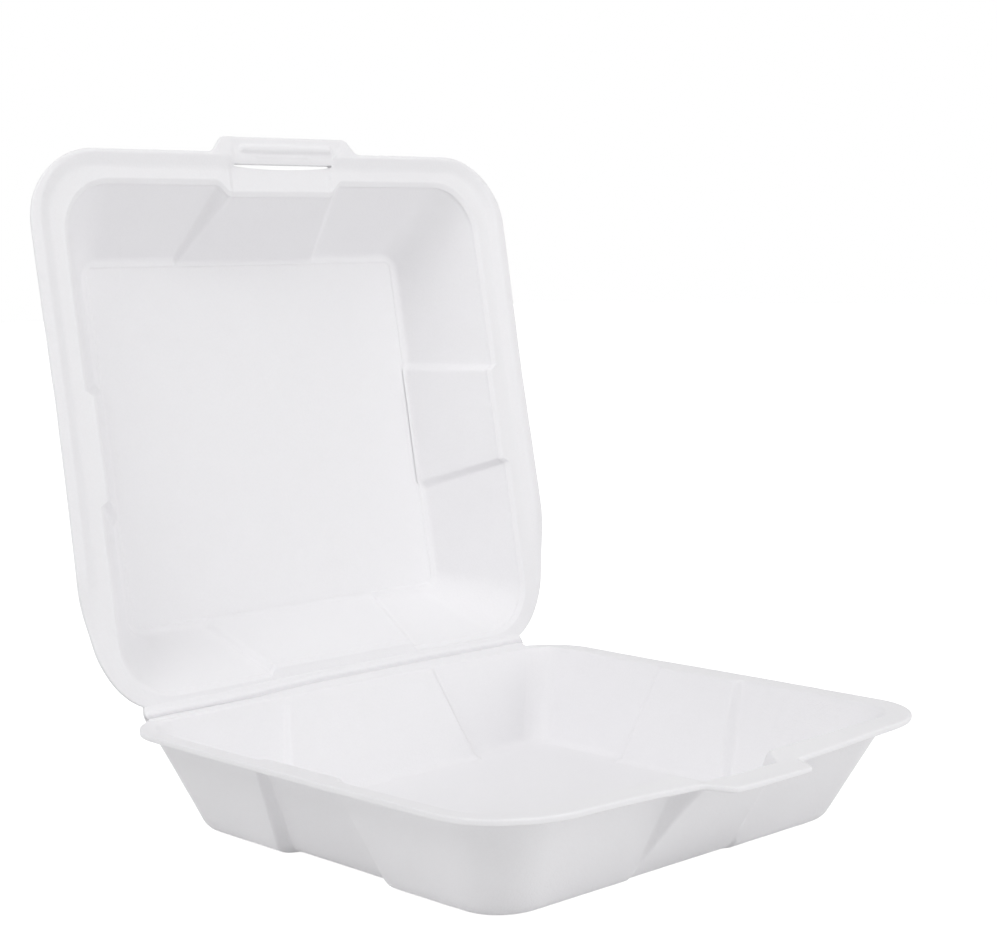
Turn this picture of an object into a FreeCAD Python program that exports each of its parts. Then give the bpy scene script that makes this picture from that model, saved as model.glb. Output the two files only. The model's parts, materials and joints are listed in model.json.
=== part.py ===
import FreeCAD, Part
import math
import os

# Foam clamshell container: a square tray and a lid, moulded from one sheet and joined by a crease.
# Millimetres. X runs along the hinge, +Y points to the hinge, +Z is up.
# The origin is the centre of the tray's bottom face, on which the container rests.

# The foam sheet
sheet = 2.4                    # thickness of floor, walls and rims
edge_round = 0.8               # rounding of the cut edges of the rims

# Tray
tray_height = 40.0             # from the table to the top of the rim
tray_floor_width = 174.4       # inside, along X
tray_floor_depth = 159.2       # inside, along Y
tray_mouth_width = 206.0       # between the side walls, where they meet the rim's plane
tray_mouth_front = 99.0        # from the origin to the front wall at the rim's plane
tray_mouth_back = 91.5         # from the origin to the back wall at the rim's plane
tray_floor_fillet = 6.0        # inside, between floor and walls
tray_rim_roll = 8.0            # rounding from the wall over to the rim
tray_floor_corner = 16.0       # corner between two walls, at the floor
tray_mouth_corner = 20.0       # the same corner at the rim
tray_rim_width = 224.0
tray_rim_front = 109.4         # from the origin to the rim's front edge
tray_front_corner = 32.5       # the rim's outer corners
tray_back_corner = 28.0

# Latch tongue at the middle of the tray's front rim
tongue_root = 49.4
tongue_tip = 39.2
tongue_reach = 10.5
tongue_corner = 2.5

# Hinge crease
hinge_back = 99.0              # from the origin to the crease
crease_radius = 1.2            # half thickness of the crushed sheet along the crease
crease_length = 172.0
running_gap = 0.3              # between the crease and the lid's shelf, and between the closed rims

# Lid, measured from the crease when it lies open and flat beside the tray
lid_depth = 31.0               # inside, from the shelf to the floor
lid_floor_width = 162.2        # inside, along the hinge
lid_floor_near = 28.6          # from the crease to the floor's near edge
lid_floor_far = 177.8
lid_mouth_width = 205.6
lid_mouth_near = 8.4
lid_mouth_far = 201.7
lid_floor_fillet = 3.0
lid_rim_roll = 4.0
lid_floor_corner = 9.0
lid_mouth_corner = 15.0
rim_clearance = 0.5            # from the tray's rim to the lid's skirt, all round
lid_shelf_corner = 23.0        # the shelf's outer corners at the front
lid_back_corner = 32.0         # and at the hinge
skirt_height = 3.7             # how far the skirt stands up from the shelf
skirt_run = 3.6                # how far it flares out over that height
skirt_wall = 2.2               # measured along the shelf
lip_width = 2.4                # flat lip outside the skirt's mouth
lip_thickness = 1.8
skirt_fade_start = 50.0        # the skirt is full height beyond here
skirt_fade_end = 12.0          # and has run out here
field_step = 0.8               # the middle of the lid's floor is pressed out this much
field_border = 3.0             # width of the border left round it

# Pull tab at the middle of the lid's front lip, with a ridge bar across it
tab_root = 76.0
tab_tip = 59.0
tab_reach = 5.6
tab_corner = 4.0
ridge_length = 46.0
ridge_radius = 1.9
ridge_end_round = 0.9
ridge_outset = 1.5             # from the lip's edge out to the middle of the ridge
ridge_sink = 0.6               # from the lip's face down to the middle of the ridge

# Latch slot in the lid's shelf, and the pressed-in panel behind it
slot_length = 47.0
slot_bow = 2.7                 # width at the middle; the ends run out to nothing
latch_panel_length = 51.0
latch_panel_step = 1.2

# The lid's opening angle in this part's rest position: 0 is closed, 180 lies flat
lid_angle = 99.8

# Panels pressed into the walls. Each is a trapezoid, set in by one amount at the floor and another
# at the rim; a minus sets it out. The run is the width of the slanted step at each side of it.
# In the lid, front is the side at the hinge.
tray_panels = {
    "side": dict(centre=1.0, half_floor=28.0, half_rim=20.5,
                 in_floor=4.6, in_rim=3.0, run_floor=4.0, run_rim=3.0),
    "front": dict(centre=0.0, half_floor=26.0, half_rim=23.0,
                  in_floor=1.2, in_rim=-8.5, run_floor=2.5, run_rim=8.0),
    "back": dict(centre=0.0, half_floor=49.0, half_rim=37.5,
                 in_floor=4.6, in_rim=0.8, run_floor=4.0, run_rim=3.0),
}
lid_panels = {
    "side": dict(centre=-1.7, half_floor=26.4, half_rim=20.7,
                 in_floor=2.4, in_rim=3.2, run_floor=5.0, run_rim=3.0),
    "front": dict(centre=0.0, half_floor=43.5, half_rim=36.5,
                  in_floor=1.8, in_rim=4.5, run_floor=4.0, run_rim=3.5),
    "back": dict(centre=0.0, half_floor=35.3, half_rim=28.5,
                 in_floor=1.7, in_rim=4.6, run_floor=2.7, run_rim=7.0),
}

# How the model is built up
arc_bands = 3                  # levels in each rounded band between floor, wall and rim
clear = 12.0                   # cutting bodies reach this far past what they cut
tolerance = 0.01               # for telling which edges lie on a plane

SIDES = ("front", "right", "back", "left")


def point(x, y, z):
    return FreeCAD.Vector(x, y, z)


def between(low, high, share):
    return low + (high - low) * share


def tray_pan():
    """The tray's hollow: half sizes from its middle, at the floor and at the rim's plane."""
    half_width = tray_floor_width / 2
    half_depth = tray_floor_depth / 2
    half_mouth = tray_mouth_width / 2
    return dict(
        depth=tray_height - sheet,
        floor=dict(right=half_width, left=half_width, front=half_depth, back=half_depth),
        mouth=dict(right=half_mouth, left=half_mouth, front=tray_mouth_front, back=tray_mouth_back),
        floor_fillet=tray_floor_fillet, rim_roll=tray_rim_roll,
        floor_corner=tray_floor_corner, mouth_corner=tray_mouth_corner, panels=tray_panels)


def lid_middle():
    """From the crease to the middle of the lid's floor."""
    return (lid_floor_near + lid_floor_far) / 2


def lid_pan():
    """The lid's hollow, lying open like the tray's."""
    middle = lid_middle()
    half_width = lid_floor_width / 2
    half_mouth = lid_mouth_width / 2
    return dict(
        depth=lid_depth,
        floor=dict(right=half_width, left=half_width,
                   front=middle - lid_floor_near, back=lid_floor_far - middle),
        mouth=dict(right=half_mouth, left=half_mouth,
                   front=middle - lid_mouth_near, back=lid_mouth_far - middle),
        floor_fillet=lid_floor_fillet, rim_roll=lid_rim_roll,
        floor_corner=lid_floor_corner, mouth_corner=lid_mouth_corner, panels=lid_panels)


def wall_angle(pan, side):
    """Angle of a wall above the floor's plane."""
    return math.atan2(pan["depth"], pan["mouth"][side] - pan["floor"][side])


def reach(pan, side, z, offset):
    """Distance from the pan's middle to its surface at height z above the inner floor.

    Offset 0 is the inner face; the outer face lies one sheet thickness behind it, about the same centres.
    """
    angle = wall_angle(pan, side)
    fillet = pan["floor_fillet"]
    roll = pan["rim_roll"]
    low_radius = fillet + offset
    high_radius = roll - offset
    if z <= fillet - low_radius * math.cos(angle):
        centre = pan["floor"][side] - fillet * math.tan(angle / 2)
        return centre + math.sqrt(max(low_radius ** 2 - (fillet - z) ** 2, 0))
    if z >= pan["depth"] - roll + high_radius * math.cos(angle):
        centre = pan["mouth"][side] + roll * math.tan(angle / 2)
        return centre - math.sqrt(max(high_radius ** 2 - (z - pan["depth"] + roll) ** 2, 0))
    return pan["floor"][side] + z / math.tan(angle) + offset / math.sin(angle)


def wall_share(pan, z):
    """0 at the floor and below, 1 at the rim and above."""
    return min(max(z / pan["depth"], 0), 1)


def corner_radius(pan, z, offset):
    """Radius of the upright corner at height z, about the same centre for both faces."""
    share = wall_share(pan, z)
    wall = between(pan["floor"]["right"], pan["mouth"]["right"], share)
    corner = between(pan["floor_corner"], pan["mouth_corner"], share)
    return corner + reach(pan, "right", z, offset) - wall


def side_points(distance, start, end, panel, centre, share):
    """Points along one side as (along, out): a straight run with the panel's step in and out."""
    half = between(panel["half_floor"], panel["half_rim"], share)
    inset = between(panel["in_floor"], panel["in_rim"], share)
    run = between(panel["run_floor"], panel["run_rim"], share) / 2
    return [(start, distance), (centre - half - run, distance), (centre - half + run, distance - inset),
            (centre + half - run, distance - inset), (centre + half + run, distance), (end, distance)]


def turned(side, along, out, z):
    """A point given along a side and out from the middle, as a place in X, Y and Z."""
    places = dict(front=(along, -out), right=(out, along), back=(-along, out), left=(-out, -along))
    return point(*places[side], z)


def pan_ring(pan, z, offset):
    """One closed level of the pan's inner or outer face."""
    radius = corner_radius(pan, z, offset)
    slant = radius * (1 - math.cos(math.pi / 4))
    far = {side: reach(pan, side, z, offset) for side in SIDES}
    edges = []
    for number, side in enumerate(SIDES):
        panel = pan["panels"]["side" if side in ("left", "right") else side]
        centre = -panel["centre"] if side == "left" else panel["centre"]
        start = radius - far[SIDES[number - 1]]
        end = far[SIDES[(number + 1) % len(SIDES)]] - radius
        places = [turned(side, along, out, z)
                  for along, out in side_points(far[side], start, end, panel, centre, wall_share(pan, z))]
        edges += [Part.makeLine(a, b) for a, b in zip(places[:-1], places[1:])]
        middle = turned(side, end + radius - slant, far[side] - slant, z)
        finish = turned(side, end + radius, far[side] - radius, z)
        edges.append(Part.Arc(places[-1], middle, finish).toShape())
    return Part.Wire(edges)


def pan_levels(pan, offset):
    """Heights of the rings: the floor's fillet, the wall, and the roll over to the rim."""
    angle = wall_angle(pan, "right")
    fillet = pan["floor_fillet"]
    roll = pan["rim_roll"]
    turns = [angle * band / arc_bands for band in range(arc_bands + 1)]
    low = [fillet - (fillet + offset) * math.cos(turn) for turn in turns]
    high = [pan["depth"] - roll + (roll - offset) * math.cos(turn) for turn in reversed(turns)]
    return low + high


def pan_body(pan, offset, floor_y, floor_z):
    """The solid inside one face of the pan, with its inner floor's middle at the given place."""
    body = Part.makeLoft([pan_ring(pan, z, offset) for z in pan_levels(pan, offset)], True, True)
    if offset == 0:
        mouth = Part.Face(pan_ring(pan, pan["depth"], offset))
        body = body.fuse(mouth.extrude(point(0, 0, clear)))
    body.translate(point(0, floor_y, floor_z))
    return body


def rounded_outline(half_width, front, back, front_corner, back_corner, z):
    """A level outline with round corners, from y = -front to y = back."""
    corners = ((half_width - front_corner, front_corner - front, front_corner),
               (half_width - back_corner, back - back_corner, back_corner),
               (back_corner - half_width, back - back_corner, back_corner),
               (front_corner - half_width, front_corner - front, front_corner))
    arcs = []
    for number, (x, y, radius) in enumerate(corners):
        turns = [math.radians(90 * number + degrees) for degrees in (-90, -45, 0)]
        arcs.append(Part.Arc(*[point(x + radius * math.cos(turn), y + radius * math.sin(turn), z)
                               for turn in turns]))
    edges = []
    for arc, following in zip(arcs, arcs[1:] + arcs[:1]):
        edges += [arc.toShape(), Part.makeLine(arc.EndPoint, following.StartPoint)]
    return Part.Wire(edges)


def plate(outline, thickness):
    """A flat plate standing on a level outline."""
    return Part.Face(outline).extrude(point(0, 0, thickness))


def trapezoid_plate(root, tip, root_y, tip_y, corner, bottom, thickness):
    """A tongue or tab with round corners at its tip."""
    corners = [point(-root / 2, root_y, bottom), point(root / 2, root_y, bottom),
               point(tip / 2, tip_y, bottom), point(-tip / 2, tip_y, bottom)]
    body = plate(Part.makePolygon(corners + corners[:1]), thickness)
    uprights = [edge for edge in body.Edges if abs(edge.CenterOfMass.y - tip_y) < tolerance
                and edge.BoundBox.XLength < tolerance]
    return body.makeFillet(corner, uprights)


def round_rim(rim, bottom, top):
    """Rounds the upper and lower edges of a rim's plate."""
    level = [edge for edge in rim.Edges if edge.BoundBox.ZLength < tolerance]
    cut = [edge for edge in level if abs(edge.BoundBox.ZMin - bottom) < tolerance
           or abs(edge.BoundBox.ZMin - top) < tolerance]
    return rim.makeFillet(edge_round, cut)


def bar_along_x(radius, length, y, z):
    """A round bar, centred on x = 0."""
    return Part.makeCylinder(radius, length, point(-length / 2, y, z), point(1, 0, 0))


def pivot_height():
    """The lid turns about the middle of the gap between the two closed rims."""
    return tray_height + running_gap / 2


def make_tray():
    pan = tray_pan()
    under = tray_height - sheet
    rim = plate(rounded_outline(tray_rim_width / 2, tray_rim_front, hinge_back,
                                tray_front_corner, tray_back_corner, under), sheet)
    slope = (tongue_root - tongue_tip) / 2 / tongue_reach
    sunk_root = tongue_root + 2 * slope * tongue_corner
    tongue = trapezoid_plate(sunk_root, tongue_tip, tongue_corner - tray_rim_front,
                             -tray_rim_front - tongue_reach, tongue_corner, under, sheet)
    rim = round_rim(rim.fuse(tongue).removeSplitter(), under, tray_height)
    crease = bar_along_x(crease_radius, crease_length, hinge_back, pivot_height())
    outside = pan_body(pan, sheet, 0, sheet)
    inside = pan_body(pan, 0, 0, sheet)
    return rim.fuse([outside, crease]).cut(inside).removeSplitter()


def shelf_front():
    """From the crease to the front edge of the lid's shelf, at the skirt's foot."""
    return hinge_back + tray_rim_front + rim_clearance


def lip_edge():
    """From the crease to the front edge of the lid's lip."""
    return shelf_front() + skirt_run + lip_width


def skirt_ring(outset, z):
    """A level of the lid's skirt, this far outside the shelf's outer edge."""
    half = tray_rim_width / 2 + rim_clearance + outset
    return rounded_outline(half, 0, shelf_front() + outset, lid_back_corner, lid_shelf_corner + outset, z)


def make_lip():
    """The flat lip outside the skirt's mouth, with the pull tab; still solid across the mouth."""
    lip_bottom = skirt_height - lip_thickness
    lip = plate(skirt_ring(skirt_run + lip_width, lip_bottom), lip_thickness)
    slope = (tab_root - tab_tip) / 2 / tab_reach
    sunk_root = tab_root + 2 * slope * tab_corner
    tab = trapezoid_plate(sunk_root, tab_tip, lip_edge() - tab_corner, lip_edge() + tab_reach,
                          tab_corner, lip_bottom, lip_thickness)
    return round_rim(lip.fuse(tab).removeSplitter(), lip_bottom, skirt_height)


def skirt_fade():
    """What is cut off the skirt and lip where they run out towards the hinge."""
    half = tray_rim_width / 2 + rim_clearance + skirt_run + lip_width + clear
    above = skirt_height + clear
    corners = [point(-half, -clear, 0), point(-half, skirt_fade_end, 0),
               point(-half, skirt_fade_start, skirt_height), point(-half, skirt_fade_start, above),
               point(-half, -clear, above)]
    return Part.Face(Part.makePolygon(corners + corners[:1])).extrude(point(2 * half, 0, 0))


def make_brim():
    """The lid's shelf, skirt, lip and pull tab, lying open with the shelf's top at z = 0."""
    lip_bottom = skirt_height - lip_thickness
    half_wall = skirt_wall / 2
    foot = Part.makeLoft([skirt_ring(half_wall, -sheet), skirt_ring(skirt_run + half_wall, lip_bottom)],
                         True, True)
    hollow = Part.makeLoft([skirt_ring(0, 0), skirt_ring(skirt_run, skirt_height),
                            skirt_ring(skirt_run, skirt_height + clear)], True, True)
    shelf_end = crease_radius + running_gap
    at_crease = Part.makeBox(tray_rim_width + 2 * clear, shelf_end + clear, 2 * clear,
                             point(-tray_rim_width / 2 - clear, -clear, -clear))
    return foot.fuse(make_lip()).cut(hollow).cut(skirt_fade()).cut(at_crease)


def make_ridge():
    """The bar across the pull tab's root: its upper part only, seated in the lip."""
    middle = lip_edge() + ridge_outset
    bar = bar_along_x(ridge_radius, ridge_length, middle, skirt_height - ridge_sink)
    ends = [edge for edge in bar.Edges if edge.BoundBox.XLength < tolerance]
    bar = bar.makeFillet(ridge_end_round, ends)
    below = Part.makeBox(ridge_length, 2 * clear, clear,
                         point(-ridge_length / 2, middle - clear, skirt_height - lip_thickness / 2 - clear))
    return bar.cut(below)


def make_slot():
    """The latch slot: a straight outer edge along the skirt's foot, and a bowed inner edge."""
    left = point(-slot_length / 2, shelf_front(), -clear)
    right = point(slot_length / 2, shelf_front(), -clear)
    bow = Part.Arc(left, point(0, shelf_front() - slot_bow, -clear), right).toShape()
    return plate(Part.Wire([bow, Part.makeLine(right, left)]), 2 * clear)


def latch_panel_block(bottom, top):
    """The block under the middle of the front shelf, from the lid's mouth out to the skirt's foot."""
    near = lid_mouth_far - lid_panels["back"]["in_rim"]
    return Part.makeBox(latch_panel_length, shelf_front() - near, top - bottom,
                        point(-latch_panel_length / 2, near, bottom))


def floor_field(bottom, grow):
    """The pressed-out middle of the lid's floor: one step deep, with sloping edges."""
    rings = []
    for z, out in ((bottom, grow), (bottom + field_step, grow + field_step)):
        inset = field_border + field_step - out
        half = lid_floor_width / 2 - inset
        near = lid_floor_near + inset
        far = lid_floor_far - inset
        corners = [point(-half, near, z), point(half, near, z), point(half, far, z), point(-half, far, z)]
        rings.append(Part.makePolygon(corners + corners[:1]))
    return Part.makeLoft(rings, True, True)


def make_lid():
    """The lid lying open and flat, then turned up about the crease to its rest angle."""
    pan = lid_pan()
    outside = pan_body(pan, sheet, lid_middle(), -lid_depth)
    inside = pan_body(pan, 0, lid_middle(), -lid_depth)
    field_out = floor_field(-lid_depth - sheet - field_step, field_step)
    field_in = floor_field(-lid_depth - field_step, 0)
    panel_out = latch_panel_block(-sheet - latch_panel_step, -sheet / 2)
    panel_in = latch_panel_block(-latch_panel_step, 0)
    lid = make_brim().fuse([outside, make_ridge(), field_out, panel_out])
    lid = lid.cut(inside).cut(field_in).cut(panel_in).cut(make_slot()).removeSplitter()
    lid.translate(point(0, hinge_back, tray_height))
    lid.rotate(point(0, hinge_back, pivot_height()), point(1, 0, 0), 180 - lid_angle)
    return lid


os.makedirs("parts", exist_ok=True)
for name, shape in (("tray", make_tray()), ("lid", make_lid())):
    print(name, "valid", shape.isValid(), "solids", len(shape.Solids),
          "volume cm3", round(shape.Volume / 1000, 1), "faces", len(shape.Faces))
    shape.exportStep("parts/" + name + ".step")
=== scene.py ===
import json
import math

import bpy
from mathutils import Matrix, Vector, noise


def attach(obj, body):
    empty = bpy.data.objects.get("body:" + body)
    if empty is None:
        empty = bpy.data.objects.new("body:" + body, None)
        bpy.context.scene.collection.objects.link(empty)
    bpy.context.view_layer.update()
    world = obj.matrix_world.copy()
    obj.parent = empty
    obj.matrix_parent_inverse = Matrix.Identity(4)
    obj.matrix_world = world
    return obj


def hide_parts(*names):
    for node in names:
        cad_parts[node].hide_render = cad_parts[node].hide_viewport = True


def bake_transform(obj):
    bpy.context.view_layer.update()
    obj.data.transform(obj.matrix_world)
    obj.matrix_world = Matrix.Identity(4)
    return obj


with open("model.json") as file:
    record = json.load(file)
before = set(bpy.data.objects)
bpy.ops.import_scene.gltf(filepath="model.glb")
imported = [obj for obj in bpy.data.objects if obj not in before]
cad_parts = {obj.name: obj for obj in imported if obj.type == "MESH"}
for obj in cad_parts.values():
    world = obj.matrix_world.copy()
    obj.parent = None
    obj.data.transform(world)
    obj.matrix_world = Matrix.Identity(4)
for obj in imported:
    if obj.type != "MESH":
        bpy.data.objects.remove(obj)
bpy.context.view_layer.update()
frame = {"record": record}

# Foam clamshell container. Lengths in this file are millimetres until a mesh is made.
MM = 0.001

# The foam sheet
SHEET = 2.4
EDGE_ROUND = 0.7

# Tray
TRAY_HEIGHT = 40.0
TRAY_RIM_WIDTH = 224.0
TRAY_RIM_FRONT = 109.4
TRAY_CORNERS = (29.0, 25.0, 25.0, 32.5)     # front right, then anticlockwise seen from above
TRAY_MOUTH_ROUND = 1.7         # how far the mouth's edge is rounded
TONGUE_CENTRE = 1.2
TONGUE_ROOT = 52.0
TONGUE_TIP = 37.4
TONGUE_REACH = 10.5

# Where the tray's rim has been pressed out of true: x, y, how far round, and by how much
RIM_PRESSES = (
    (8.0, -118.0, 46.0, -1.25),
    (-92.0, -106.0, 30.0, 0.55),
    (114.0, 70.0, 22.0, 0.35),
    (-112.0, 30.0, 60.0, -0.4))
PRESS_HEIGHTS = (4.0, 40.0)    # a press has no effect at the lower height, and its whole effect at the rim
FRONT_EDGE_DROP = 1.6          # how far the front rim slopes down to its edge around the tongue
FRONT_EDGE_SLOPE = (-99.0, -109.0)
FRONT_EDGE_MIDDLE = 15.0
FRONT_EDGE_SPREAD = 58.0
LEFT_MOUTH_DROP = 1.2          # how far the left rim's inner edge lies below its outer edge
LEFT_MOUTH_SLOPE = 9.0
LEFT_MOUTH_START = (-60.0, -90.0)
LEFT_MOUTH_ENDS = (100.0, 75.0)

# Hinge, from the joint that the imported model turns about
HINGE = [value / MM for value in frame["record"]["behaviour"]["joints"][0]["pos_m"]]
LID_ANGLE = 99.8               # 0 is closed, 180 lies flat

# Lid, measured from the crease when it lies open and flat beside the tray. Its front is at the hinge
# and its back at the latch.
LID_BACK_CORNER = 26.0
FOOT = dict(half=110.5, flat_half=109.0, near=4.9, far=208.5, corner=21.0, height=0.0)
SKIRT_TOP = dict(half=114.6, flat_half=110.8, near=3.2, far=213.4, corner=26.0, height=1.9)
LIP = dict(half=118.7, flat_half=112.5, near=1.5, far=214.9, corner=30.0, height=1.7)
BRIM_TAPER = 0.8               # how much wider the lip is near the latch, and narrower near the hinge
BRIM_TAPER_ACROSS = (103.0, 117.0)  # where the taper starts and is full, out from the lid's middle
BRIM_TAPER_ALONG = (60.0, 180.0)    # and between which distances from the crease it turns over
LIP_THICKNESS = 1.5
WIDTH_FADE = (55.0, 8.0)       # distances from the crease where the brim is whole and where it has run out
HEIGHT_FADE = (62.0, 36.0)
BRIM_ROUNDS = (1.3, 0.9)       # at the skirt's foot and at its top
UNDER_ROUNDS = (0.8, 1.2)      # the same underneath, from the top
BEAD = ((-0.6, -2.4), (-0.1, -1.7), (0.0, -1.15), (2.1, 0.1), (3.1, 0.0))   # the mouth's edge: out and up
BEAD_ROUNDS = (0.3, 0.25, 0.25, 0.45, 0.4)
FIELD_STEP = 0.4               # how far the floor's middle field is pressed outward
FIELD_BORDER = 3.0
FIELD_CORNER = 2.5
FIELD_ROUND = 0.4
LATCH_CENTRE = 1.5
TAB_CENTRE = 2.8
TAB_ROOT = 77.0
TAB_TIP = 60.0
TAB_REACH = 6.2
RIDGE_CENTRE = 3.2
RIDGE_HALF = 23.2
RIDGE_RADIUS = 1.7
RIDGE_OUT = 1.5                # from the lip's edge out to the middle of the ridge
RIDGE_SINK = 0.5
SLOT_HALF = 24.8
SLOT_TOP = 210.3
SLOT_END = 0.9                 # how tall the slot is at its ends
SLOT_BOW = 1.2
LATCH_PANEL_HALF = 24.9        # the panel pressed in behind the slot
LATCH_PANEL_RUN = 1.0
LATCH_PANEL_MIDDLE = 199.9
LATCH_PANEL_TALL = 9.4
LATCH_PANEL_END = 0.8
LATCH_STEP = 0.7
LATCH_DEPTH = (-9.0, -3.0)     # below the shelf, from where up to where its step grows to its full size
LATCH_SKIRT_HALF = 24.4
LATCH_SKIRT_RUN = 1.6
LATCH_SKIRT_IN = 0.9           # how much closer the skirt's top comes to its foot at the latch
LATCH_SKIRT_DROP = 0.9         # and how much lower it is there
TAB_LINE_IN = 1.6              # a faint raised line on the tab, this far in from the lip's edge
TAB_LINE_HALF = 12.0
TAB_LINE_END = 3.0
TAB_LINE_THICK = 0.25
TAB_LINE_RUN = 0.5
TAB_LINE_HEIGHT = 0.2
SKIRT_OUTER_GAP = 1.6          # how far the skirt's outer face lies outside its inner one, at its top
FOOT_OUTER_GAP = 1.7           # and at its foot

# The two hollow forms. A panel's half width, how far it is set in (or out, where negative) and how
# long its steps run are each given at the floor and at the rim.
TRAY = dict(
    depth=TRAY_HEIGHT - SHEET, wall_top=TRAY_HEIGHT - SHEET, fillet=4.0, roll=5.4,
    floor_corners=(16.0, 9.0, 9.0, 16.0), mouth_corners=(20.0, 12.0, 12.0, 20.0),
    floor=dict(right=87.2, left=87.2, front=79.6, back=79.6),
    mouth=dict(right=103.0, left=103.0, front=99.0, back=91.5),
    panels=dict(
        side=dict(centre=1.0, half=(28.0, 20.5), inset=(4.6, 3.0), run=(4.0, 3.0)),
        front=dict(centre=-1.5, half=(26.0, 21.5), inset=(1.2, -8.5), run=(2.5, 8.0)),
        back=dict(centre=0.0, half=(49.0, 37.5), inset=(4.6, 0.8), run=(4.0, 3.0))))

LID_NEAR = 28.6
LID_FAR = 177.8
LID_MIDDLE = (LID_NEAR + LID_FAR) / 2
LID_MOUTH_NEAR = 8.2
LID_MOUTH_FAR = 201.8
LID = dict(
    depth=31.0, wall_top=29.4, fillet=3.0, roll=4.0,
    floor_corners=(9.0, 9.0, 9.0, 9.0), mouth_corners=(20.5, 20.5, 20.5, 20.5),
    floor=dict(right=81.1, left=81.1, front=LID_MIDDLE - LID_NEAR, back=LID_FAR - LID_MIDDLE),
    mouth=dict(right=102.8, left=102.8, front=LID_MIDDLE - LID_MOUTH_NEAR, back=LID_MOUTH_FAR - LID_MIDDLE),
    panels=dict(
        side=dict(centre=-1.7, half=(26.4, 20.7), inset=(2.4, 3.2), run=(5.0, 3.0)),
        front=dict(centre=0.0, half=(43.5, 36.5), inset=(1.8, 3.2), run=(4.0, 3.5)),
        back=dict(centre=0.7, half=(35.3, 28.5), inset=(1.7, 4.6), run=(2.7, 7.0))))

# Crushed crease along the hinge
CREASE_HALF = 97.6
CREASE_HEIGHTS = (-0.5, 1.1)   # over the rim, at the crease's left and along its middle and right
CREASE_RISE = (-70.0, -5.0)    # from where to where along the hinge it climbs
CREASE_END = 2.5               # over how much of its end the crease grows thin
CREASE_END_SHARE = 0.5         # and down to which share of its thickness
CREASE_STEPS = 110

# The sheet's unevenness: how many waves to a millimetre, and how large they are
WAVE_SEED = 5
WAVE_SLOW = 0.018
WAVE_SLOW_SIZE = 0.22
WAVE_QUICK = 0.11
WAVE_QUICK_SIZE = 0.07

# Foam. The scales are per metre.
FOAM_DARK = (0.868, 0.860, 0.880, 1)
FOAM_LIGHT = (0.905, 0.899, 0.915, 1)
FOAM_SHINE = 0.15
FOAM_ROUGHNESS = (0.38, 0.5)
BEADS_PER_METRE = 620
GRAIN_PER_METRE = 2600
PATCHES_PER_METRE = 28

# Studio, in metres and watts. A lamp's angles are degrees round from +X and up from the floor.
FLOOR_HALF = 6.0
FLOOR_GAP = 0.0002             # how far the floor lies below the part
FLOOR_TONE = (0.82, 0.82, 0.82, 1)
FLOOR_GLOW = 0.85
WORLD_LIGHT = 0.38
LAMP_SIZE = 1.4
LAMP_DISTANCE = 2.2
LAMP_TARGET = Vector((0, 0, 0.1))
LAMPS = (
    dict(name="left_high", around=190, above=50, power=16.0),
    dict(name="front_high", around=262, above=50, power=7.0),
    dict(name="right_low", around=300, above=15, power=13.0),
    dict(name="back_low", around=150, above=15, power=3.0),
    dict(name="left_low", around=190, above=15, power=1.2))

# Camera, with its angles in degrees
CAMERA_AZIMUTH = 43.395
CAMERA_ELEVATION = 6.047
CAMERA_ROLL = -0.952
CAMERA_TARGET = Vector((-16.88, -9.0, 131.54))
CAMERA_DISTANCE = 733.5
CAMERA_LENS = 74.33
CAMERA_SENSOR = 36.0

# Points along each side of a ring, and how many rings make up each stretch of the section
RUN, STEP, PANEL, CORNER = 14, 9, 66, 20
ARC_RINGS = 8
WALL_RINGS = 9
FLAT_RINGS = 6
SHELF_RINGS = 10
LIP_RINGS = 16
TRAY_WALL_END = 2.0            # how far below the mouth's edge the inner wall's rings stop
LID_WALL_END = 4.0
SIDES = ("front", "right", "back", "left")
STEP_SOFTNESS = 0.42           # share of a panel's step that is rounded at each end


def mix(a, b, share):
    return a + (b - a) * share


def clamp(value):
    return min(max(value, 0.0), 1.0)


def share_of(value, ends):
    """How far a value has come from the first end to the second, kept between 0 and 1."""
    return clamp((value - ends[0]) / (ends[1] - ends[0]))


def ease(share, softness=STEP_SOFTNESS):
    """A straight ramp from 0 to 1 with rounded ends."""
    share = clamp(share)
    if share > 0.5:
        return 1 - ease(1 - share, softness)
    steep = 1 / (1 - softness)
    if share < softness:
        return steep * share * share / (2 * softness)
    return steep * (share - softness / 2)


def bump(distance, half, blur):
    """1 inside the half width, falling to 0 over the blur outside it."""
    return 1 - ease((abs(distance) - half) / blur, 0.5)


def turned(side, along, out):
    """A place seen from above, given along its side and out from the middle."""
    places = dict(front=(along, -out), right=(out, along), back=(-along, out), left=(-out, -along))
    return places[side]


def level(far, corners, keys, bulge):
    """One closed ring seen from above: sides with a panel in the middle of each, and round corners.

    The corners' radii follow their sides, starting with the one between front and right.
    """
    places = []
    for number, side in enumerate(SIDES):
        before = corners[number - 1]
        after = corners[number]
        start = before - far[SIDES[number - 1]]
        end = far[SIDES[(number + 1) % 4]] - after
        stops = [start] + list(keys[side]) + [end]
        stretches = ((RUN, 0, 0), (STEP, 0, 1), (PANEL, 1, 1), (STEP, 1, 0), (RUN, 0, 0))
        for (count, share_in, share_out), low, high in zip(stretches, stops[:-1], stops[1:]):
            for step in range(count):
                share = step / count
                rise = mix(share_in, share_out, ease(share))
                places.append(turned(side, mix(low, high, share), far[side] + rise * bulge[side]))
        for step in range(CORNER):
            turn = math.pi / 2 * step / CORNER
            along = end + after * math.sin(turn)
            places.append(turned(side, along, far[side] - after * (1 - math.cos(turn))))
    return places


def wall_angle(pan, side):
    return math.atan2(pan["wall_top"], pan["mouth"][side] - pan["floor"][side])


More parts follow.
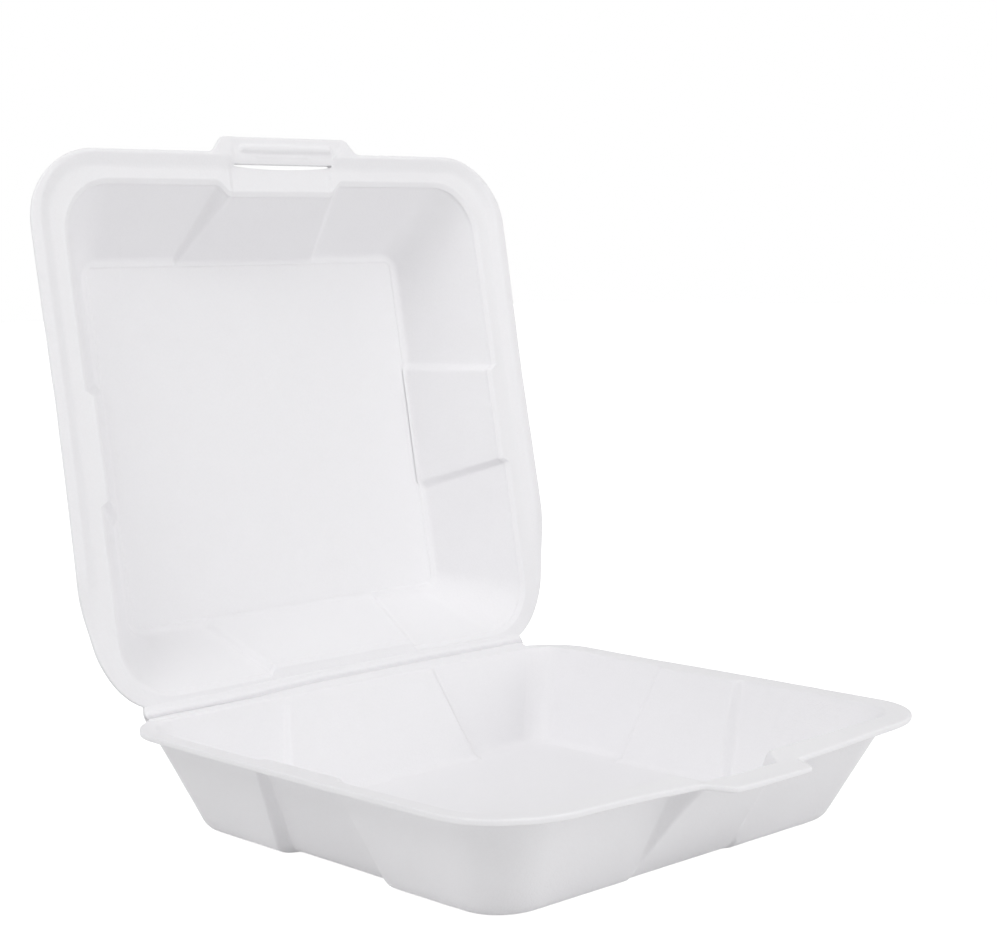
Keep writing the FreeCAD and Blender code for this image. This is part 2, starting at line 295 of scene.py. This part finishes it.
def reach(pan, side, z, offset):
    """Distance from the middle to the pan's inner face, or with an offset to its outer face.

    Only the outer face rolls over under the rim: the inner one runs straight up to the mouth's edge.
    """
    angle = wall_angle(pan, side)
    low_radius = pan["fillet"] + offset
    high_radius = pan["roll"] - offset
    if z <= pan["fillet"] - low_radius * math.cos(angle):
        centre = pan["floor"][side] - pan["fillet"] * math.tan(angle / 2)
        return centre + math.sqrt(max(low_radius ** 2 - (pan["fillet"] - z) ** 2, 0))
    if not offset:
        return min(pan["floor"][side] + z / math.tan(angle), pan["mouth"][side])
    if z >= pan["depth"] - pan["roll"] + high_radius * math.cos(angle):
        top = pan["floor"][side] + pan["depth"] / math.tan(angle)
        centre = top + pan["roll"] * math.tan(angle / 2)
        return centre - math.sqrt(max(high_radius ** 2 - (z - pan["depth"] + pan["roll"]) ** 2, 0))
    return pan["floor"][side] + z / math.tan(angle) + offset / math.sin(angle)


def panel_keys(pan, side, share):
    """Where a panel's two steps start and end along its side, and how far it is set in."""
    panel = pan["panels"]["side" if side in ("left", "right") else side]
    centre = -panel["centre"] if side == "left" else panel["centre"]
    half = mix(*panel["half"], share)
    run = mix(*panel["run"], share) / 2
    keys = (centre - half - run, centre - half + run, centre + half - run, centre + half + run)
    return keys, mix(*panel["inset"], share)


def pan_ring(pan, z, offset, middle, floor_z, outset=0.0, rise=0.0):
    """One ring of a hollow form's inner face, or with an offset of its outer face, at a height in it."""
    share = clamp(z / pan["wall_top"])
    far = {side: reach(pan, side, z, offset) for side in SIDES}
    wall = mix(pan["floor"]["right"], pan["mouth"]["right"], share)
    grown = far["right"] - wall + outset
    pairs = zip(pan["floor_corners"], pan["mouth_corners"])
    corners = [mix(low, high, share) + grown for low, high in pairs]
    far = {side: far[side] + outset for side in SIDES}
    found = {side: panel_keys(pan, side, share) for side in SIDES}
    keys = {side: found[side][0] for side in SIDES}
    bulge = {side: -found[side][1] for side in SIDES}
    return [Vector((x, y + middle, z + rise + floor_z)) for x, y in level(far, corners, keys, bulge)]


def fillet_heights(pan, offset):
    angle = wall_angle(pan, "right")
    turns = [angle * step / ARC_RINGS for step in range(ARC_RINGS + 1)]
    return [pan["fillet"] - (pan["fillet"] + offset) * math.cos(turn) for turn in turns]


def inner_rings(pan, middle, floor_z, top):
    """Rings from the floor's edge up the fillet and the wall to a height below the mouth's edge."""
    low = fillet_heights(pan, 0)
    wall = [mix(low[-1], top, step / WALL_RINGS) for step in range(1, WALL_RINGS + 1)]
    return [pan_ring(pan, z, 0, middle, floor_z) for z in low + wall]


def outer_rings(pan, middle, floor_z):
    """Rings of the outer face, from the floor's edge up to where it rolls over under the rim."""
    angle = wall_angle(pan, "right")
    low = fillet_heights(pan, SHEET)
    turns = [angle * step / ARC_RINGS for step in range(ARC_RINGS, -1, -1)]
    high = [pan["depth"] - pan["roll"] + (pan["roll"] - SHEET) * math.cos(turn) for turn in turns]
    wall = [mix(low[-1], high[0], step / WALL_RINGS) for step in range(1, WALL_RINGS)]
    return [pan_ring(pan, z, SHEET, middle, floor_z) for z in low + wall + high]


def between_rings(first, last, count):
    """The rings strictly between two rings."""
    return [[a.lerp(b, step / (count + 1)) for a, b in zip(first, last)] for step in range(1, count + 1)]


def rounded_rings(rings, radii, steps):
    """Rounds the section that a few rings describe, column by column, at all but its end rings."""
    result = [rings[0]]
    for number, radius in enumerate(radii, 1):
        curves = []
        for before, here, after in zip(rings[number - 1], rings[number], rings[number + 1]):
            back = (before - here) * min(radius / max((before - here).length, 0.001), 0.48)
            on = (after - here) * min(radius / max((after - here).length, 0.001), 0.48)
            shares = [step / steps for step in range(steps + 1)]
            curves.append([here + back * (1 - share) ** 2 + on * share ** 2 for share in shares])
        result += [list(ring) for ring in zip(*curves)]
    return result + [rings[-1]]


def shrunk(ring, share):
    middle = sum(ring, Vector()) / len(ring)
    return [middle.lerp(place, share) for place in ring]


def outward(ring):
    """The level outward direction at each point of a ring that runs anticlockwise."""
    result = []
    for number, place in enumerate(ring):
        along = ring[(number + 1) % len(ring)] - ring[number - 1]
        result.append(Vector((along.y, -along.x, 0)).normalized())
    return result


def rim_edge(edge, top, bottom):
    """Rings round a sheet's cut edge, from its upper face over to its lower one."""
    normals = outward(edge)
    rings = []
    for face, sign in ((top, -1), (bottom, 1)):
        turns = range(ARC_RINGS // 2 + 1)
        for step in (turns if sign < 0 else reversed(turns)):
            turn = math.pi / 2 * step / (ARC_RINGS // 2)
            back = EDGE_ROUND * (1 - math.sin(turn))
            drop = EDGE_ROUND * (1 - math.cos(turn))
            heights = [height + sign * drop for height in face]
            rings.append([Vector((p.x, p.y, z)) - n * back for p, n, z in zip(edge, normals, heights)])
    return rings


def closed_mesh(name, rings):
    """A closed surface through the rings, from the middle of one face to the middle of the other."""
    count = len(rings[0])
    places = [place for ring in rings for place in ring]
    faces = []
    for lower in range(len(rings) - 1):
        for number in range(count):
            after = (number + 1) % count
            faces.append((lower * count + number, lower * count + after,
                          (lower + 1) * count + after, (lower + 1) * count + number))
    for ring, first in ((rings[0], 0), (rings[-1], (len(rings) - 1) * count)):
        centre = len(places)
        places.append(sum(ring, Vector()) / count)
        for number in range(count):
            after = (number + 1) % count
            pair = (first + after, first + number) if first == 0 else (first + number, first + after)
            faces.append(pair + (centre,))
    mesh = bpy.data.meshes.new(name)
    mesh.from_pydata([waved(place) * MM for place in places], [], faces)
    mesh.update()
    return mesh


def waved(place):
    """The sheet's slight unevenness, much the same for both of its faces."""
    slow = noise.noise_vector(place * WAVE_SLOW)
    quick = noise.noise_vector(place * WAVE_QUICK)
    return place + slow * WAVE_SLOW_SIZE + quick * WAVE_QUICK_SIZE


def as_object(mesh):
    for polygon in mesh.polygons:
        polygon.use_smooth = True
    obj = bpy.data.objects.new(mesh.name, mesh)
    bpy.context.scene.collection.objects.link(obj)
    return obj


def floor_rings(ring):
    """Rings over a flat floor, from near its middle out to its edge."""
    return [shrunk(ring, share) for share in (0.15, 0.4, 0.65, 0.85, 0.95)]


def tray_edge():
    """The tray rim's outline with its latch tongue, at the height of the rim's top."""
    far = dict(right=TRAY_RIM_WIDTH / 2, left=TRAY_RIM_WIDTH / 2, front=TRAY_RIM_FRONT, back=HINGE[1])
    keys = {side: panel_keys(TRAY, side, 1)[0] for side in SIDES}
    ends = (-TONGUE_ROOT / 2, -TONGUE_TIP / 2, TONGUE_TIP / 2, TONGUE_ROOT / 2)
    keys["front"] = [TONGUE_CENTRE + end for end in ends]
    bulge = dict(right=0, left=0, front=TONGUE_REACH, back=0)
    return [Vector((x, y, TRAY_HEIGHT)) for x, y in level(far, TRAY_CORNERS, keys, bulge)]


def pressed(place):
    """The tray's rim is not quite level: it has been pressed down or up in a few places."""
    shift = 0.0
    for x, y, spread, size in RIM_PRESSES:
        shift += size * math.exp(-((place.x - x) ** 2 + (place.y - y) ** 2) / spread ** 2)
    near_tongue = math.exp(-((place.x - FRONT_EDGE_MIDDLE) / FRONT_EDGE_SPREAD) ** 4)
    shift -= FRONT_EDGE_DROP * near_tongue * share_of(place.y, FRONT_EDGE_SLOPE)
    edge = TRAY_RIM_WIDTH / 2
    inside = share_of(abs(place.x), (edge, edge - LEFT_MOUTH_SLOPE)) * share_of(place.x, LEFT_MOUTH_START)
    shift -= LEFT_MOUTH_DROP * inside * share_of(abs(place.y), LEFT_MOUTH_ENDS)
    return place + Vector((0, 0, shift * share_of(place.z, PRESS_HEIGHTS) ** 2))


def make_tray():
    mouth = pan_ring(TRAY, TRAY["depth"], 0, 0, SHEET)
    edge = tray_edge()
    rim = rim_edge(edge, [TRAY_HEIGHT] * len(edge), [TRAY_HEIGHT - SHEET] * len(edge))
    inner = inner_rings(TRAY, 0, SHEET, TRAY["depth"] - TRAY_WALL_END)
    outer = outer_rings(TRAY, 0, SHEET)
    outer.reverse()
    crown = rounded_rings([inner[-1], mouth, rim[0]], [TRAY_MOUTH_ROUND], 6)
    rings = floor_rings(inner[0]) + inner + crown[1:-1] + between_rings(crown[-2], rim[0], FLAT_RINGS) + rim
    rings += between_rings(rim[-1], outer[0], FLAT_RINGS) + outer + list(reversed(floor_rings(outer[-1])))
    rings = [[pressed(place) for place in ring] for ring in rings]
    return as_object(closed_mesh("tray_shell", rings))


def fade(v, ends):
    """1 far from the crease, running out to 0 towards it."""
    return ease((v - ends[1]) / (ends[0] - ends[1]), 0.3)


def brim_ring(station, outset=0.0, drop=0.0, tab=0.0, latch=0.0):
    """One line of the lid's brim. Near the hinge it runs out flat, into the shelf.

    The tab widens it at the latch, and latch pulls it in there.
    """
    levels = []
    for half in (station["flat_half"], station["half"]):
        far = dict(right=half + outset, left=half + outset, front=LID_MIDDLE - station["near"],
                   back=station["far"] + outset - LID_MIDDLE)
        corner = station["corner"] + outset
        hinge_corner = LID_BACK_CORNER + LIP["near"] - station["near"]
        keys = {side: panel_keys(LID, side, 1)[0] for side in SIDES}
        root = mix(keys["back"][3], TAB_ROOT / 2, tab)
        tip = mix(keys["back"][2], TAB_TIP / 2, tab)
        centre = TAB_CENTRE * tab
        keys["back"] = [-centre + end for end in (-root, -tip, tip, root)]
        bulge = dict(right=0, left=0, front=0, back=TAB_REACH * tab)
        levels.append(level(far, [hinge_corner, corner, corner, hinge_corner], keys, bulge))
    result = []
    for (x0, y0), (x1, y1) in zip(*levels):
        v = y1 + LID_MIDDLE
        wide = fade(v, WIDTH_FADE)
        x = mix(x0, x1, wide)
        grown = BRIM_TAPER * share_of(abs(x), BRIM_TAPER_ACROSS) * mix(-1, 1, share_of(v, BRIM_TAPER_ALONG))
        x += math.copysign(grown * wide, x)
        y = mix(y0, y1, wide) + LID_MIDDLE
        height = station["height"] * fade(v, HEIGHT_FADE) - drop
        if y > LID_MIDDLE:
            near_latch = latch * bump(x - LATCH_CENTRE, LATCH_SKIRT_HALF, LATCH_SKIRT_RUN)
            y -= LATCH_SKIRT_IN * near_latch
            height -= LATCH_SKIRT_DROP * near_latch
        result.append(Vector((x, y, height)))
    return result


def latch_detail(place):
    """How high the brim is pressed at the latch: the panel behind the slot, the tab's ridge bar and line."""
    deep = bump(place.x, LATCH_PANEL_HALF, LATCH_PANEL_RUN)
    deep *= bump(place.y - LATCH_PANEL_MIDDLE, LATCH_PANEL_TALL, LATCH_PANEL_END)
    height = -LATCH_STEP * deep * share_of(place.z, LATCH_DEPTH)
    across = (place.y - LIP["far"] - RIDGE_OUT) / RIDGE_RADIUS
    if abs(across) < 1:
        ends = clamp((RIDGE_HALF - abs(place.x - RIDGE_CENTRE)) / RIDGE_RADIUS)
        round_end = math.sqrt(1 - (1 - ends) ** 2)
        height += max(RIDGE_RADIUS * math.sqrt(1 - across ** 2) - RIDGE_SINK, 0) * round_end
    line = bump(place.y - LIP["far"] + TAB_LINE_IN, TAB_LINE_THICK, TAB_LINE_RUN)
    return height + TAB_LINE_HEIGHT * line * bump(place.x - LATCH_CENTRE, TAB_LINE_HALF, TAB_LINE_END)


def detailed(ring):
    return [place + Vector((0, 0, latch_detail(place))) for place in ring]


def field_ring(z, inset):
    """The outline of the floor's pressed-out field, with small round corners."""
    far = {side: LID["floor"][side] - inset for side in SIDES}
    keys = {side: panel_keys(LID, side, 0)[0] for side in SIDES}
    bulge = dict(right=0, left=0, front=0, back=0)
    return [Vector((x, y + LID_MIDDLE, z)) for x, y in level(far, [FIELD_CORNER] * 4, keys, bulge)]


def field_rings(floor_z, rise):
    """Rings over the field and down its sloping edge to the border."""
    section = ((4.0, rise), (FIELD_STEP, rise), (0.0, 0.0), (-1.2, 0.0))
    rings = [field_ring(floor_z + z, FIELD_BORDER + inside) for inside, z in section]
    rings = rounded_rings(rings, [FIELD_ROUND] * 2, 3)
    return floor_rings(rings[0]) + rings


def lid_rings():
    """Rings of the lid lying open and flat, from the middle of its floor over the lip to the underside."""
    depth = LID["depth"]
    inner = inner_rings(LID, LID_MIDDLE, -depth, depth - LID_WALL_END)
    bead = [pan_ring(LID, depth, 0, LID_MIDDLE, -depth, outset, rise) for outset, rise in BEAD]
    foot = brim_ring(FOOT)
    top = brim_ring(SKIRT_TOP, latch=1.0)
    edge = brim_ring(LIP, tab=1.0)
    lower = [place.z - LIP_THICKNESS for place in edge]
    rim = rim_edge(edge, [place.z for place in edge], lower)
    mouth = rounded_rings([inner[-1]] + bead + [foot], BEAD_ROUNDS, 3)
    brim = rounded_rings([mouth[-2], foot, top, rim[0]], BRIM_ROUNDS, 4)
    shelf = between_rings(mouth[-2], brim[1], SHELF_RINGS)
    lip = between_rings(brim[-2], rim[0], LIP_RINGS)
    outer = outer_rings(LID, LID_MIDDLE, -depth)
    outer.reverse()
    lip_under = brim_ring(SKIRT_TOP, outset=SKIRT_OUTER_GAP, drop=LIP_THICKNESS)
    foot_under = brim_ring(FOOT, outset=FOOT_OUTER_GAP, drop=SHEET)
    under = rounded_rings([rim[-1], lip_under, foot_under, outer[0]], UNDER_ROUNDS, 4)
    upper = inner + mouth[1:-1] + shelf + brim[1:-1] + lip + rim[:3]
    rings = field_rings(-depth, -FIELD_STEP) + [detailed(ring) for ring in upper] + rim[3:]
    rings += under[1:-1] + between_rings(under[-2], outer[0], FLAT_RINGS) + outer
    return rings + list(reversed(field_rings(-depth - SHEET, -FIELD_STEP)))


def lid_turn(angle):
    """Takes a place on the flat lid, measured from the crease, to its place in the frame."""
    pivot = Vector(HINGE)
    flat = Matrix.Translation(Vector((0, HINGE[1], TRAY_HEIGHT)) - pivot)
    return Matrix.Translation(pivot) @ Matrix.Rotation(math.radians(180 - angle), 4, "X") @ flat


def cut_slot(obj):
    """Cuts the latch slot: a straight edge along the skirt's foot and a bowed edge behind it."""
    steps = 40
    shares = [step / steps * 2 - 1 for step in range(steps + 1)]
    tall = [SLOT_END + SLOT_BOW * (1 - share ** 2) for share in shares]
    outline = [(LATCH_CENTRE + share * SLOT_HALF, SLOT_TOP - low) for share, low in zip(shares, tall)]
    outline += [(LATCH_CENTRE + SLOT_HALF, SLOT_TOP), (LATCH_CENTRE - SLOT_HALF, SLOT_TOP)]
    places = [Vector((x, y, z)) for z in (-12, 12) for x, y in outline]
    count = len(outline)
    faces = [tuple(reversed(range(count))), tuple(range(count, 2 * count))]
    faces += [(n, (n + 1) % count, count + (n + 1) % count, count + n) for n in range(count)]
    mesh = bpy.data.meshes.new("slot_cutter")
    mesh.from_pydata([place * MM for place in places], [], faces)
    cutter = bpy.data.objects.new("slot_cutter", mesh)
    bpy.context.scene.collection.objects.link(cutter)
    modifier = obj.modifiers.new("slot", "BOOLEAN")
    modifier.operation = "DIFFERENCE"
    modifier.solver = "EXACT"
    modifier.object = cutter
    final = bpy.data.meshes.new_from_object(obj.evaluated_get(bpy.context.evaluated_depsgraph_get()))
    obj.modifiers.clear()
    obj.data = final
    final.name = obj.name
    bpy.data.objects.remove(cutter)


def make_lid():
    obj = as_object(closed_mesh("lid_shell", lid_rings()))
    cut_slot(obj)
    turn = lid_turn(LID_ANGLE)
    turn.translation *= MM
    obj.data.transform(turn)
    obj.data.set_sharp_from_angle(angle=math.radians(50))
    return obj


def crease_section(bow):
    """The crease's section: on the tray's side first, then on the lid's, then back underneath.

    Each place is its distance from the crease, and its height over the tray's rim or the lid's shelf.
    """
    tray_top = [(-6.0, -0.3), (-5.0, 0.04), (-3.0, 0.12 + 0.35 * bow), (-1.6, 0.1 + 0.75 * bow), (-0.8, bow)]
    valley = [(-0.25, 0.05 + bow)]
    lid_top = [(0.25, 0.4), (0.7, 0.95), (1.4, 1.3), (2.1, 1.2), (2.7, 0.7)]
    lid_top += [(3.1, 0.3), (4.0, 0.28), (5.2, -0.25)]
    lid_low = [(5.2, -1.9), (2.6, -2.3), (1.2, -1.9)]
    tray_low = [(0.1, -2.0), (-1.0, -2.4), (-3.0, -2.5), (-6.0, -2.2)]
    turn = lid_turn(LID_ANGLE)
    section = [Vector((0, HINGE[1] + y, TRAY_HEIGHT + z)) for y, z in tray_top + valley]
    section += [turn @ Vector((0, v + bow * clamp((6 - v) / 3), out)) for v, out in lid_top + lid_low]
    return section + [Vector((0, HINGE[1] + y, TRAY_HEIGHT + z)) for y, z in tray_low]


def crease_bow(x):
    """How high the crease lies over the rim at a place along the hinge."""
    return mix(*CREASE_HEIGHTS, ease(share_of(x, CREASE_RISE)))


def make_crease():
    """The crushed crease: a bead from the tray's rim to the lid's shelf, bowed up over the rim."""
    core = crease_core()
    places = []
    for step in range(CREASE_STEPS + 1):
        x = CREASE_HALF * math.sin(math.pi * (step / CREASE_STEPS - 0.5))
        section = crease_section(crease_bow(x))
        near_end = share_of(abs(x), (CREASE_HALF - CREASE_END, CREASE_HALF))
        thin = mix(CREASE_END_SHARE, 1, math.sqrt(1 - near_end ** 2))
        places += [waved(core.lerp(place, thin) + Vector((x, 0, 0))) for place in section]
    count = len(section)
    faces = []
    for first in range(0, CREASE_STEPS * count, count):
        for n in range(count):
            after = (n + 1) % count
            faces.append((first + n, first + count + n, first + count + after, first + after))
    for first, flip in ((0, False), (CREASE_STEPS * count, True)):
        centre = len(places)
        places.append(sum(places[first:first + count], Vector()) / count)
        for n in range(count):
            pair = (first + n, first + (n + 1) % count)
            faces.append((pair[::-1] if flip else pair) + (centre,))
    mesh = bpy.data.meshes.new("hinge_crease")
    mesh.from_pydata([place * MM for place in places], [], faces)
    mesh.update()
    return as_object(mesh)


def crease_core():
    """The middle of the crease's thickness, which its ends taper to."""
    return Vector((0, HINGE[1] - 0.6, TRAY_HEIGHT - 0.4))


def foam_material():
    """White foam: fused beads under a smooth skin, slightly uneven in tone and gloss."""
    material = bpy.data.materials.new("white_foam")
    material.use_nodes = True
    nodes = material.node_tree.nodes
    links = material.node_tree.links
    shader = nodes["Principled BSDF"]
    shader.inputs["Specular IOR Level"].default_value = FOAM_SHINE
    place = nodes.new("ShaderNodeTexCoord").outputs["Object"]

    def texture(kind, scale, **settings):
        node = nodes.new(kind)
        node.inputs["Scale"].default_value = scale
        for name, value in settings.items():
            setattr(node, name, value)
        links.new(place, node.inputs["Vector"])
        return node

    def ramp(source, low, high, dark, light):
        node = nodes.new("ShaderNodeMapRange")
        for name, value in (("From Min", low), ("From Max", high), ("To Min", dark), ("To Max", light)):
            node.inputs[name].default_value = value
        links.new(source, node.inputs["Value"])
        return node.outputs["Result"]

    def relief(height, strength, distance):
        node = nodes.new("ShaderNodeBump")
        node.inputs["Strength"].default_value = strength
        node.inputs["Distance"].default_value = distance
        links.new(height, node.inputs["Height"])
        return node

    beads = texture("ShaderNodeTexVoronoi", BEADS_PER_METRE, feature="DISTANCE_TO_EDGE")
    grain = texture("ShaderNodeTexNoise", GRAIN_PER_METRE)
    patches = texture("ShaderNodeTexNoise", PATCHES_PER_METRE)
    seams = ramp(beads.outputs["Distance"], 0.0, 0.12, 0.0, 1.0)
    tone = nodes.new("ShaderNodeMix")
    tone.data_type = "RGBA"
    tone.inputs[6].default_value = FOAM_DARK
    tone.inputs[7].default_value = FOAM_LIGHT
    blend = nodes.new("ShaderNodeMath")
    blend.operation = "MULTIPLY"
    links.new(ramp(patches.outputs["Fac"], 0.3, 0.7, 0.75, 1.0), blend.inputs[0])
    links.new(ramp(seams, 0.0, 1.0, 0.7, 1.0), blend.inputs[1])
    links.new(blend.outputs[0], tone.inputs["Factor"])
    links.new(tone.outputs[2], shader.inputs["Base Color"])
    links.new(ramp(patches.outputs["Fac"], 0.3, 0.7, *FOAM_ROUGHNESS), shader.inputs["Roughness"])
    bead_bump = relief(seams, 0.10, 0.0003)
    grain_bump = relief(grain.outputs["Fac"], 0.08, 0.0002)
    links.new(bead_bump.outputs["Normal"], grain_bump.inputs["Normal"])
    links.new(grain_bump.outputs["Normal"], shader.inputs["Normal"])
    return material


def seen_plainly(nodes, links):
    """1 for what the camera sees, also in a reflection or through something, and 0 for diffuse light."""
    path = nodes.new("ShaderNodeLightPath")
    result = path.outputs["Is Camera Ray"]
    for ray in ("Is Glossy Ray", "Is Transmission Ray"):
        either = nodes.new("ShaderNodeMath")
        either.operation = "MAXIMUM"
        links.new(result, either.inputs[0])
        links.new(path.outputs[ray], either.inputs[1])
        result = either.outputs[0]
    return result


def backdrop_material():
    """A white floor: full white to the camera where nothing shades it, and it keeps the shadow."""
    material = bpy.data.materials.new("white_floor")
    material.use_nodes = True
    nodes = material.node_tree.nodes
    links = material.node_tree.links
    shader = nodes["Principled BSDF"]
    shader.inputs["Base Color"].default_value = FLOOR_TONE
    shader.inputs["Roughness"].default_value = 0.9
    seen = seen_plainly(nodes, links)
    glow = nodes.new("ShaderNodeMath")
    glow.operation = "MULTIPLY"
    glow.inputs[1].default_value = FLOOR_GLOW
    links.new(seen, glow.inputs[0])
    shader.inputs["Emission Color"].default_value = (1, 1, 1, 1)
    links.new(glow.outputs[0], shader.inputs["Emission Strength"])
    return material


def make_world():
    """White to the camera and in reflections, and a plain soft light on the object."""
    world = bpy.data.worlds.new("studio")
    world.use_nodes = True
    bpy.context.scene.world = world
    nodes = world.node_tree.nodes
    links = world.node_tree.links
    background = nodes["Background"]
    background.inputs["Color"].default_value = (1, 1, 1, 1)
    seen = seen_plainly(nodes, links)
    strength = nodes.new("ShaderNodeMapRange")
    strength.inputs["To Min"].default_value = WORLD_LIGHT
    strength.inputs["To Max"].default_value = 1.0
    links.new(seen, strength.inputs["Value"])
    links.new(strength.outputs["Result"], background.inputs["Strength"])


def add_lamp(name, around, above, power):
    """A large round lamp that looks at the object."""
    away = LAMP_DISTANCE * math.cos(math.radians(above))
    turn = math.radians(around)
    place = LAMP_TARGET + Vector((away * math.cos(turn), away * math.sin(turn),
                                  LAMP_DISTANCE * math.sin(math.radians(above))))
    lamp = bpy.data.lights.new(name, "AREA")
    lamp.shape = "DISK"
    lamp.size = LAMP_SIZE
    lamp.energy = power
    obj = bpy.data.objects.new(name, lamp)
    bpy.context.scene.collection.objects.link(obj)
    obj.location = place
    obj.rotation_euler = (LAMP_TARGET - place).to_track_quat("-Z", "Y").to_euler()


def make_stage():
    mesh = bpy.data.meshes.new("floor")
    corners = [(x * FLOOR_HALF, y * FLOOR_HALF, -FLOOR_GAP) for x, y in ((-1, -1), (1, -1), (1, 1), (-1, 1))]
    mesh.from_pydata(corners, [], [(0, 1, 2, 3)])
    floor = bpy.data.objects.new("floor", mesh)
    bpy.context.scene.collection.objects.link(floor)
    mesh.materials.append(backdrop_material())


def make_camera():
    """The photograph's view: a long lens at the front left, looking slightly down."""
    azimuth = math.radians(CAMERA_AZIMUTH)
    elevation = math.radians(CAMERA_ELEVATION)
    roll = math.radians(CAMERA_ROLL)
    forward = Vector((math.sin(azimuth) * math.cos(elevation), math.cos(azimuth) * math.cos(elevation),
                      -math.sin(elevation)))
    level_right = Vector((math.cos(azimuth), -math.sin(azimuth), 0))
    level_up = level_right.cross(forward)
    right = level_right * math.cos(roll) + level_up * math.sin(roll)
    up = level_up * math.cos(roll) - level_right * math.sin(roll)
    data = bpy.data.cameras.new("photo_view")
    data.sensor_fit = "HORIZONTAL"
    data.sensor_width = CAMERA_SENSOR
    data.lens = CAMERA_LENS
    camera = bpy.data.objects.new("photo_view", data)
    bpy.context.scene.collection.objects.link(camera)
    turn = Matrix((right, up, -forward)).transposed().to_4x4()
    place = (CAMERA_TARGET - forward * CAMERA_DISTANCE) * MM
    camera.matrix_world = Matrix.Translation(place) @ turn
    bpy.context.scene.camera = camera


def main():
    noise.seed_set(WAVE_SEED)
    foam = foam_material()
    tray = make_tray()
    lid = make_lid()
    crease = make_crease()
    for piece in (tray, lid, crease):
        piece.data.materials.clear()
        piece.data.materials.append(foam)
    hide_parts("tray")
    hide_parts("lid")
    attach(tray, "tray")
    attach(lid, "lid")
    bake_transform(crease)
    make_stage()
    make_world()
    for lamp in LAMPS:
        add_lamp(**lamp)
    make_camera()
    bpy.context.scene.view_settings.view_transform = "Standard"


main()
